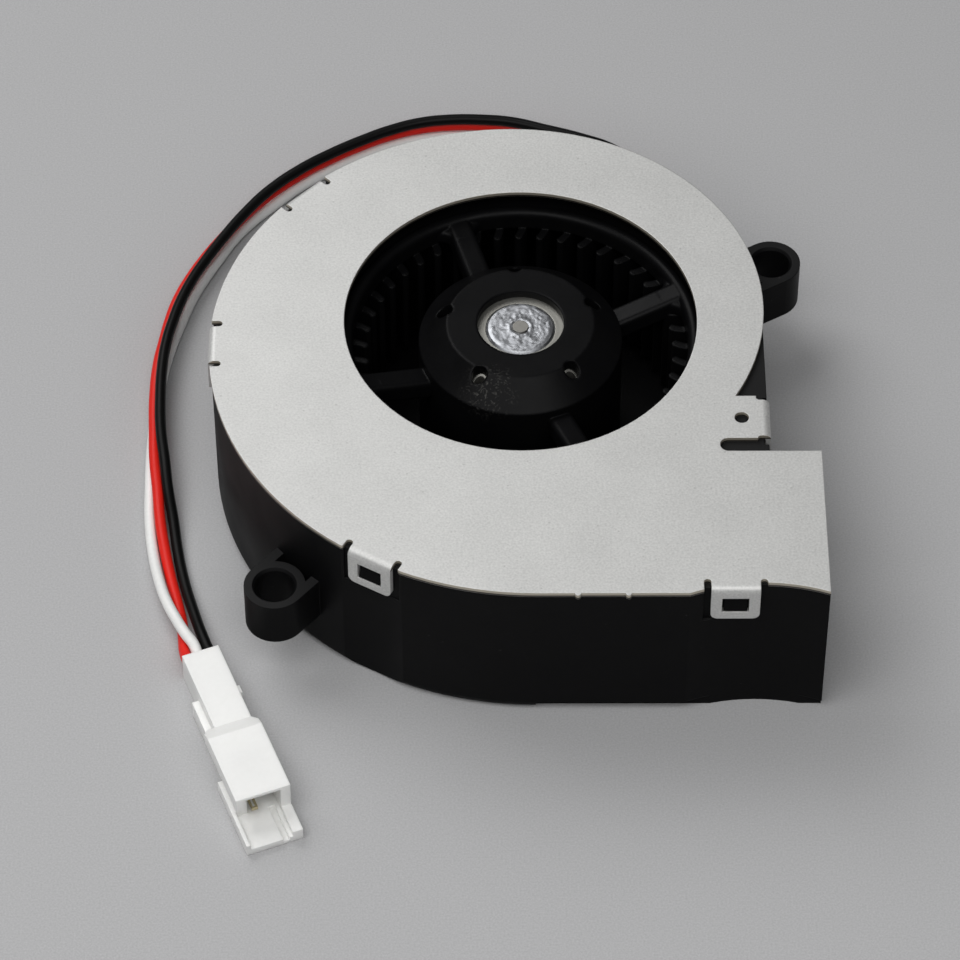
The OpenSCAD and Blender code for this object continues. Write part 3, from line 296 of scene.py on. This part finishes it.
def moulded_wheel_plastic(colour):
    """Wheel moulded in polished steel: black with a soft gloss, a few scuffs from handling and
    painted sheen.
    """
    # Pale scratches, drawn 0.25 mm wide, on one side of the hub's bevel: scuffs, with painted sheen
    # there.
    material, tree, shader, place = start(
        "moulded_wheel_plastic", IOR=1.5, Specular_IOR_Level=0.08)
    flow = add(tree, "ShaderNodeTexNoise", {"Scale": per_mm(5), "Detail": 3.0},
               {"Vector": place}).outputs[0]
    grain = add(tree, "ShaderNodeTexNoise", {"Scale": per_mm(0.35), "Detail": 2.0},
                {"Vector": place}).outputs[0]
    under = mottled(tree, shader, colour, varied(tree, 1.0, (flow, 0.6), (grain, 0.3)))
    away = add(tree, "ShaderNodeVectorMath", {1: SCUFF_AND_SHEEN_MIDDLE}, {0: place},
               operation="DISTANCE").outputs["Value"]
    # Painted sheen with scuffs: a pale streaked patch on the front side of the hub's bevel
    scuff_and_sheen_patch = add(tree, "ShaderNodeMapRange", {1: 1.2 * MM, 2: 4.2 * MM, 3: 1.0, 4: 0.0}, {0: away})
    streaks = add(tree, "ShaderNodeTexNoise",
                  {"Scale": per_mm(0.9), "Detail": 4.0, "Distortion": 2.5},
                  {"Vector": place}).outputs[0]
    lines = add(tree, "ShaderNodeMapRange", {1: 0.56, 2: 0.72, 3: 0.0, 4: 0.5}, {0: streaks})
    scuff_and_sheen = add(tree, "ShaderNodeMath", links={0: scuff_and_sheen_patch.outputs[0], 1: lines.outputs[0]},
                operation="MULTIPLY")
    spotted(tree, shader, under, linear("#6F6E6A"), scuff_and_sheen.outputs[0])
    tree.links.new(varied(tree, 0.36, (flow, 0.24)), shader.inputs["Roughness"])
    soft_edges(tree, shader, radius=0.45, height=grain, depth=0.008)
    return material


def drawn_plated_steel(colour):
    """Deep-drawn steel cup, zinc-plated: its flat top is matte, with fine rings and grain."""
    # The punch leaves rings about 0.1 mm apart; they are drawn 0.7 mm apart to show.
    material, tree, shader, place = start("drawn_plated_steel", Metallic=1.0)
    rings = add(tree, "ShaderNodeTexWave",
                {"Scale": per_mm(0.7 * WAVE), "Distortion": 3.0, "Detail": 2.0},
                {"Vector": place}, wave_type="RINGS", rings_direction="Z").outputs["Fac"]
    grain = add(tree, "ShaderNodeTexNoise", {"Scale": per_mm(0.2), "Detail": 2.0},
                {"Vector": place}).outputs[0]
    mottled(tree, shader, colour, varied(tree, 1.0, (grain, 0.4), (rings, 0.08)))
    tree.links.new(varied(tree, 0.52, (grain, 0.3)), shader.inputs["Roughness"])
    soft_edges(tree, shader, radius=0.12, height=rings, depth=0.004)
    return material


def die_cast_zinc(colour):
    """Zinc alloy as cast and staked: a bruised cool grey with pits and bright pressed spots."""
    material, tree, shader, place = start("die_cast_zinc", Metallic=1.0)
    bruise = add(tree, "ShaderNodeTexNoise",
                 {"Scale": per_mm(1.1), "Detail": 3.0, "Distortion": 0.8},
                 {"Vector": place}).outputs[0]
    grain = add(tree, "ShaderNodeTexNoise", {"Scale": per_mm(0.22), "Detail": 3.0},
                {"Vector": place}).outputs[0]
    under = mottled(tree, shader, colour, varied(tree, 0.95, (bruise, 0.7), (grain, 0.3)))
    pits = add(tree, "ShaderNodeMapRange", {1: 0.66, 2: 0.74, 3: 0.0, 4: 0.8}, {0: grain})
    spotted(tree, shader, under, linear("#3A3B3D"), pits.outputs[0])
    tree.links.new(varied(tree, 0.42, (bruise, 0.5)), shader.inputs["Roughness"])
    soft_edges(tree, shader, radius=0.1, height=bruise, depth=0.03)
    return material


def machined_metal(name, colour, roughness, line):
    """Turned or ground metal: clean, with lines round its axis, one every line millimetres."""
    material, tree, shader, place = start(name, Metallic=1.0)
    lines = add(tree, "ShaderNodeTexWave", {"Scale": per_mm(line * WAVE), "Distortion": 1.0},
                {"Vector": place}, bands_direction="Z").outputs["Fac"]
    haze = add(tree, "ShaderNodeTexNoise", {"Scale": per_mm(1.5), "Detail": 3.0},
               {"Vector": place}).outputs[0]
    mottled(tree, shader, colour, varied(tree, 1.0, (haze, 0.3), (lines, 0.1)))
    tree.links.new(varied(tree, roughness, (haze, 0.2)), shader.inputs["Roughness"])
    soft_edges(tree, shader, radius=0.06, height=lines, depth=0.003)
    return material


def stacked_sheets(colour):
    """Stack of stamped silicon-steel sheets, 0.5 mm each: dark lines between dull bands."""
    material, tree, shader, place = start("stacked_steel_sheets", Metallic=1.0, Roughness=0.45)
    bands = add(tree, "ShaderNodeTexWave", {"Scale": per_mm(0.5 * WAVE)}, {"Vector": place},
                bands_direction="Z", wave_profile="SAW").outputs["Fac"]
    rust = add(tree, "ShaderNodeTexNoise", {"Scale": per_mm(2), "Detail": 4.0},
               {"Vector": place}).outputs[0]
    mottled(tree, shader, colour, varied(tree, 0.95, (bands, 0.4), (rust, 0.3)))
    soft_edges(tree, shader, radius=0.05, height=bands, depth=0.03)
    return material


def wound_copper(colour):
    """Enamelled copper wire, 0.2 mm, wound in layers: a ribbed, shiny red-brown."""
    # The strands are arcs round the motor's axis, though real turns run straight across each pole.
    material, tree, shader, place = start(
        "wound_copper", Metallic=1.0, Roughness=0.3, Coat_Weight=0.6, Coat_Roughness=0.15)
    strands = add(tree, "ShaderNodeTexWave", {"Scale": per_mm(0.2 * WAVE), "Distortion": 0.6},
                  {"Vector": place}, wave_type="RINGS", rings_direction="Z").outputs["Fac"]
    haze = add(tree, "ShaderNodeTexNoise", {"Scale": per_mm(0.8), "Detail": 2.0},
               {"Vector": place}).outputs[0]
    mottled(tree, shader, colour, varied(tree, 1.0, (strands, 0.4), (haze, 0.3)))
    soft_edges(tree, shader, radius=0.15, height=strands, depth=0.05)
    return material


def moulded(name, colour, roughness, grain_size, spread, clouds=0.5, **values):
    """Plain moulded, fired or paper skin: an even colour with a fine grain and faint clouds."""
    material, tree, shader, place = start(name, **values)
    grain = add(tree, "ShaderNodeTexNoise", {"Scale": per_mm(grain_size), "Detail": 2.0},
                {"Vector": place}).outputs[0]
    cloud_size = 16 * grain_size
    cloud = add(tree, "ShaderNodeTexNoise", {"Scale": per_mm(cloud_size), "Detail": 2.0},
                {"Vector": place}).outputs[0]
    mottled(tree, shader, colour, varied(tree, 1.0, (grain, spread), (cloud, spread * clouds)))
    tree.links.new(varied(tree, roughness, (cloud, 0.2)), shader.inputs["Roughness"])
    soft_edges(tree, shader, radius=0.12, height=grain, depth=0.006)
    return material


def vinyl(name, colour, gloss=0.4):
    """Extruded soft vinyl: a smooth satin skin, a little uneven along the lead."""
    return moulded(name, colour, roughness=0.4, grain_size=0.5, spread=0.12, IOR=1.53,
                   Specular_IOR_Level=gloss)


def new_piece(name, data, body, material):
    """Links a new piece, gives it its finish and lets it ride on a body."""
    piece = bpy.data.objects.new(name, data)
    bpy.context.scene.collection.objects.link(piece)
    data.materials.append(material)
    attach(piece, body)
    return piece


def tube_curve(name, route, radius):
    """Curve data of a round tube that runs smoothly through the points of a route."""
    curve = bpy.data.curves.new(name, "CURVE")
    curve.dimensions = "3D"
    curve.bevel_depth = radius
    curve.bevel_resolution = 5
    curve.resolution_u = 8
    curve.use_fill_caps = True
    spline = curve.splines.new("BEZIER")
    spline.bezier_points.add(len(route) - 1)
    for point, place in zip(spline.bezier_points, route):
        point.co = place
        point.handle_left_type = point.handle_right_type = "AUTO"
    return curve


def dress(material, *names):
    """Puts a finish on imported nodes."""
    for name in names:
        slots = NODES[name].data.materials
        slots.clear()
        slots.append(material)


def rounded_copy(node, name, width, material):
    """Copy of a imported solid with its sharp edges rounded, which stands for the node."""
    same, flat, corner = 0.001 * MM, math.radians(1), math.radians(25)
    mesh = bpy.data.meshes.new(name)
    shape = bmesh.new()
    shape.from_mesh(NODES[node].data)
    bmesh.ops.remove_doubles(shape, verts=shape.verts, dist=same)
    bmesh.ops.dissolve_limit(shape, angle_limit=flat, verts=shape.verts, edges=shape.edges)
    sharp = [edge for edge in shape.edges
             if edge.is_manifold and edge.calc_face_angle() > corner]
    bmesh.ops.bevel(shape, geom=sharp, offset=width, segments=3, profile=0.5,
                    affect="EDGES", clamp_overlap=True)
    for face in shape.faces:
        face.smooth = True
    shape.to_mesh(mesh)
    shape.free()
    piece = new_piece(name, mesh, NODES[node]["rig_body"], material)
    weighted = piece.modifiers.new("even_shading", "WEIGHTED_NORMAL")
    weighted.keep_sharp = False
    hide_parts(node)


def cast_face(top, inner, outer):
    """Mesh of the boss's staked face: a bruised annulus round the shaft's end."""
    # Top is in metres; the radii and all sizes of the relief are in millimetres
    rings, sides = 36, 112
    plain, lowest, highest = 0.09, 0.005, 0.19
    swell, swells_per_mm = 0.05, 0.9
    dent, dents_per_mm, dent_shift = 0.035, 2.4, Vector((7, 3, 1))
    rise, rise_from_shaft, rise_width = 0.07, 0.35, 0.3
    gap, gaps_per_mm, gap_shift, gap_width = 0.12, 1.7, Vector((2, 9, 4)), 0.2
    rounding = 0.45
    shape = bmesh.new()
    grid = []
    for i in range(rings + 1):
        radius = inner + (outer - inner) * i / rings
        row = []
        for k in range(sides):
            angle = 2 * math.pi * k / sides
            place = Vector((radius * math.cos(angle), radius * math.sin(angle), 0.0))
            bumps = (swell * noise.noise(place * swells_per_mm)
                     + dent * noise.noise(place * dents_per_mm + dent_shift))
            stake = rise * math.exp(-((radius - inner - rise_from_shaft) / rise_width) ** 2)
            split = gap * max(0.0, noise.noise(place * gaps_per_mm + gap_shift))
            split *= math.exp(-((radius - inner) / gap_width) ** 2)
            edge = max(0.0, (radius - outer + rounding) / rounding)
            height = plain + bumps + stake - split - plain * edge * edge
            level = top + min(max(height, lowest), highest) * MM
            row.append(shape.verts.new(place * MM + Vector((0, 0, level))))
        grid.append(row)
    for low, high in zip(grid, grid[1:]):
        for k in range(sides):
            after = (k + 1) % sides
            face = shape.faces.new((low[k], high[k], high[after], low[after]))
            face.smooth = True
    mesh = bpy.data.meshes.new("boss_face")
    shape.to_mesh(mesh)
    shape.free()
    return mesh


class BlowerColours(bpy.types.PropertyGroup):
    """Colours of the finishes."""

    housing: FloatVectorProperty(
        name="Housing", description="Moulded housing", subtype="COLOR", size=4, min=0, max=1,
        default=linear("#0A0A0B"))
    cover: FloatVectorProperty(
        name="Cover", description="Zinc-coated sheet", subtype="COLOR", size=4, min=0, max=1,
        default=linear("#D2D2D0"))
    wheel: FloatVectorProperty(
        name="Wheel", description="Moulded impeller", subtype="COLOR", size=4, min=0, max=1,
        default=linear("#0B0B0C"))
    black: FloatVectorProperty(
        name="Black lead", description="Insulation of the black lead", subtype="COLOR", size=4,
        min=0, max=1, default=linear("#0C0C0C"))
    red: FloatVectorProperty(
        name="Red lead", description="Insulation of the red lead", subtype="COLOR", size=4,
        min=0, max=1, default=linear("#E0241A"))
    white: FloatVectorProperty(
        name="White lead", description="Insulation of the white lead", subtype="COLOR", size=4,
        min=0, max=1, default=linear("#F1F1EF"))
    connector: FloatVectorProperty(
        name="Connector", description="Nylon of the connector", subtype="COLOR", size=4,
        min=0, max=1, default=linear("#F7F7F4"))


class BlowerSizes(bpy.types.PropertyGroup):
    """Sizes of the pieces that are made here."""

    lead: FloatProperty(
        name="Lead", description="Diameter of a lead over its insulation", unit="LENGTH",
        default=0.00145, min=0.001, max=0.00145, precision=5)
    connector_edge: FloatProperty(
        name="Connector edge", description="Width of the rounding on the connector's edges",
        unit="LENGTH", default=0.00018, min=0.0, max=0.0003, precision=5)


class BlowerStage(bpy.types.PropertyGroup):
    """Floor, light and camera."""

    floor: FloatVectorProperty(
        name="Floor", description="Colour of the floor", subtype="COLOR", size=4, min=0, max=1,
        default=linear("#B5B5B6"))
    sky: FloatProperty(
        name="Sky", description="Strength of the room's light from straight above",
        default=0.14, min=0, max=2)
    front: FloatProperty(
        name="Front softbox", description="Power of the wide lamp at the front", unit="POWER",
        default=1.75, min=0, max=50)
    back: FloatProperty(
        name="Back softbox", description="Power of the lamp at the back left", unit="POWER",
        default=2.0, min=0, max=50)
    lens: FloatProperty(
        name="Lens", description="Focal length in millimetres", subtype="DISTANCE_CAMERA",
        default=173.79, min=20, max=400)


class BLOWER_OT_stage(bpy.types.Operator):
    """Make the camera, the floor and the light"""

    bl_idname = "blower.stage"
    bl_label = "Stage"

    def execute(self, context):
        stage = context.scene.blower_stage
        context.scene.view_settings.view_transform = "Standard"
        camera = bpy.data.cameras.new("view")
        camera.lens = stage.lens
        camera.sensor_width = SENSOR_WIDTH
        viewer = bpy.data.objects.new("view", camera)
        viewer.matrix_world = (
            Matrix.Translation(VIEW_PLACE)
            @ Matrix.Rotation(VIEW_TURN, 4, "Z")
            @ Matrix.Rotation(VIEW_TILT, 4, "X")
            @ Matrix.Rotation(VIEW_ROLL, 4, "Z"))
        context.scene.collection.objects.link(viewer)
        context.scene.camera = viewer

        shape = bmesh.new()
        bmesh.ops.create_grid(shape, x_segments=2, y_segments=2, size=FLOOR_REACH)
        mesh = bpy.data.meshes.new("floor")
        shape.to_mesh(mesh)
        shape.free()
        floor = bpy.data.objects.new("floor", mesh)
        floor.location.z = -FLOOR_DROP
        context.scene.collection.objects.link(floor)
        # Matte backdrop paper: an even grey with a faint fibre of about 0.25 mm
        mesh.materials.append(moulded("backdrop_paper", list(stage.floor), roughness=0.85,
                                      grain_size=0.25, spread=0.4, clouds=0.05))

        for side, (size, place) in SOFTBOXES.items():
            softbox = bpy.data.lights.new(side + "_softbox", "AREA")
            softbox.shape = "RECTANGLE"
            softbox.size, softbox.size_y = size
            softbox.energy = getattr(stage, side)
            lamp = bpy.data.objects.new(side + "_softbox", softbox)
            lamp.location = place
            lamp.rotation_euler = (-Vector(place)).to_track_quat("-Z", "Y").to_euler()
            context.scene.collection.objects.link(lamp)

        # The room adds a weak light, a third as strong from the sides as from straight above; the
        # eye sees the floor's own grey behind the floor
        world = bpy.data.worlds.new("dim_room")
        context.scene.world = world
        world.use_nodes = True
        tree = world.node_tree
        tree.nodes.clear()
        way = add(tree, "ShaderNodeTexCoord").outputs["Generated"]
        height = add(tree, "ShaderNodeSeparateXYZ", links={0: way}).outputs["Z"]
        dim = add(tree, "ShaderNodeMapRange", {3: stage.sky / 3, 4: stage.sky}, {0: height})
        room = add(tree, "ShaderNodeBackground", {"Color": (1, 1, 1, 1)},
                   {"Strength": dim.outputs[0]})
        seen = add(tree, "ShaderNodeBackground", {"Color": stage.floor})
        eye = add(tree, "ShaderNodeLightPath").outputs["Is Camera Ray"]
        both = add(tree, "ShaderNodeMixShader",
                   links={0: eye, 1: room.outputs[0], 2: seen.outputs[0]})
        add(tree, "ShaderNodeOutputWorld", links={"Surface": both.outputs[0]})
        return {"FINISHED"}


class BLOWER_OT_leads(bpy.types.Operator):
    """Lay the three free leads and the stretch that the housing holds"""

    bl_idname = "blower.leads"
    bl_label = "Leads"

    def execute(self, context):
        colours = context.scene.blower_colours
        radius = context.scene.blower_sizes.lead / 2
        finishes = {
            "black_lead": vinyl("black_vinyl", list(colours.black), gloss=0.12),
            "red_lead": vinyl("red_vinyl", list(colours.red), gloss=0.2),
            "white_lead": vinyl("white_vinyl", list(colours.white)),
        }
        out = Vector((math.cos(EXIT_ANGLE), math.sin(EXIT_ANGLE), 0))
        left = Vector((-out.y, out.x, 0))
        inner = []
        for offset, (node, route) in enumerate(ROUTES.items(), -1):
            lead = new_piece(node + "_run", tube_curve(node + "_run", route, radius), "housing",
                             finishes[node])
            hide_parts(node)
            inner.append([step * out + offset * LEAD_PITCH * left + Vector((0, 0, z))
                          for step, z in INNER_STEPS] + [Vector(route[0])])
        for node, run in zip(finishes, inner):
            name = node.replace("lead", "tail")
            tail = new_piece(name, tube_curve(name, run, radius), "housing",
                             finishes[node])
            if node == "black_lead":
                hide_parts("inner_leads")
        return {"FINISHED"}


class BLOWER_OT_housing(bpy.types.Operator):
    """Finish the moulded housing"""

    bl_idname = "blower.housing"
    bl_label = "Housing"

    def execute(self, context):
        dress(glass_filled_polyester(list(context.scene.blower_colours.housing)), "scroll_housing")
        return {"FINISHED"}


class BLOWER_OT_cover(bpy.types.Operator):
    """Finish the steel cover"""

    bl_idname = "blower.cover"
    bl_label = "Cover"

    def execute(self, context):
        dress(zinc_coated_steel(list(context.scene.blower_colours.cover)), "top_cover")
        return {"FINISHED"}


class BLOWER_OT_rotor(bpy.types.Operator):
    """Finish the impeller and the rotor, and stake the face of its boss"""

    bl_idname = "blower.rotor"
    bl_label = "Impeller and rotor"

    def execute(self, context):
        dress(moulded_wheel_plastic(list(context.scene.blower_colours.wheel)), "impeller")
        dress(drawn_plated_steel(linear("#A5A49E")), "rotor_yoke")
        # Rubber-bonded ferrite: charcoal, dull and slightly granular
        dress(moulded("bonded_ferrite", linear("#2C2A29"), roughness=0.7, grain_size=0.25,
                      spread=0.4), "rotor_magnet")
        cast = die_cast_zinc(linear("#B4B6BA"))
        dress(cast, "rotor_boss")
        # The shaft's end was faced and then knocked: a dull warm grey
        dress(machined_metal("faced_shaft_steel", linear("#A09E99"), roughness=0.5, line=0.1),
              "rotor_shaft")
        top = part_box("rotor_boss")[1].z
        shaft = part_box("rotor_shaft")[1].x / MM
        clearance, rim = 0.04, 4.1
        face = cast_face(top, shaft + clearance, rim)
        new_piece("boss_face", face, "rotor", cast)
        return {"FINISHED"}


class BLOWER_OT_motor(bpy.types.Operator):
    """Finish the bearings, the stator and the driver board"""

    bl_idname = "blower.motor"
    bl_label = "Motor"

    def execute(self, context):
        # Ground bearing steel: bright, with hair-fine lines drawn 0.1 mm apart
        bearings = [f"{end}_bearing_{part}" for end in ("upper", "lower")
                    for part in ("inner", "outer", "balls")]
        dress(machined_metal("ground_bearing_steel", linear("#CED0D3"), roughness=0.22, line=0.1),
              "retaining_clip", "preload_spring", *bearings)
        # Turned brass: warm yellow, with tool lines drawn 0.15 mm apart
        dress(machined_metal("turned_brass", linear("#C9A650"), roughness=0.28, line=0.15),
              "bearing_tube")
        dress(stacked_sheets(linear("#74787E")), "stator_core")
        # Natural nylon: milky ivory
        dress(moulded("natural_nylon", linear("#E4E0D2"), roughness=0.45, grain_size=0.4,
                      spread=0.1, Subsurface_Weight=0.1, Subsurface_Radius=(1, 1, 1),
                      Subsurface_Scale=0.5 * MM), "upper_insulator", "lower_insulator")
        dress(wound_copper(linear("#B5652C")), "stator_windings")
        # Solder mask over glass weave of about 0.4 mm
        dress(moulded("green_solder_mask", linear("#1F5C3A"), roughness=0.3, grain_size=0.4,
                      spread=0.3, IOR=1.5), "driver_board")
        # Moulded epoxy: dark grey and matte
        dress(moulded("epoxy_moulding", linear("#222224"), roughness=0.6, grain_size=0.15,
                      spread=0.3), "hall_sensor", "driver_chip")
        # Fired ceramic: tan, with a fine grain
        dress(moulded("fired_ceramic", linear("#8A7A66"), roughness=0.5, grain_size=0.12,
                      spread=0.25), "board_parts")
        return {"FINISHED"}


class BLOWER_OT_connector(bpy.types.Operator):
    """Round and finish the connector and its contacts"""

    bl_idname = "blower.connector"
    bl_label = "Connector"

    def execute(self, context):
        # White nylon, moulded: bright and slightly see-through, with a soft gloss
        nylon = moulded("white_nylon", list(context.scene.blower_colours.connector),
                        roughness=0.42, grain_size=0.6, spread=0.05, IOR=1.53,
                        Subsurface_Weight=0.5, Subsurface_Radius=(1, 1, 1),
                        Subsurface_Scale=1.2 * MM)
        rounded_copy("connector_housing", "connector_shell",
                     context.scene.blower_sizes.connector_edge, nylon)
        # Tin-plated brass strip: a dull warm grey
        dress(machined_metal("plated_brass", linear("#B9AE8C"), roughness=0.38, line=0.12),
              "connector_pins")
        return {"FINISHED"}


class BLOWER_PT_looks(bpy.types.Panel):
    """Colours, sizes and steps of the blower's looks"""

    bl_idname = "BLOWER_PT_looks"
    bl_label = "Blower"
    bl_space_type = "VIEW_3D"
    bl_region_type = "UI"
    bl_category = "Blower"

    def draw(self, context):
        for pointer in GROUPS:
            group = getattr(context.scene, pointer)
            box = self.layout.box()
            for name in group.__annotations__:
                box.prop(group, name)
        for operator in OPERATORS:
            self.layout.operator(operator.bl_idname)


GROUPS = {"blower_colours": BlowerColours, "blower_sizes": BlowerSizes, "blower_stage": BlowerStage}
OPERATORS = (
    BLOWER_OT_stage, BLOWER_OT_connector, BLOWER_OT_leads, BLOWER_OT_housing, BLOWER_OT_cover,
    BLOWER_OT_rotor, BLOWER_OT_motor,
)


def register():
    for kind in (*GROUPS.values(), *OPERATORS, BLOWER_PT_looks):
        bpy.utils.register_class(kind)
    for name, group in GROUPS.items():
        setattr(bpy.types.Scene, name, PointerProperty(type=group))


def unregister():
    for name in GROUPS:
        delattr(bpy.types.Scene, name)
    for kind in (BLOWER_PT_looks, *reversed(OPERATORS), *GROUPS.values()):
        bpy.utils.unregister_class(kind)


def main():
    register()
    bpy.ops.blower.stage()
    bpy.ops.blower.connector()
    bpy.ops.blower.leads()
    bpy.ops.blower.housing()
    bpy.ops.blower.cover()
    bpy.ops.blower.rotor()
    bpy.ops.blower.motor()
    bpy.context.view_layer.update()


if __name__ == "__main__":
    main()
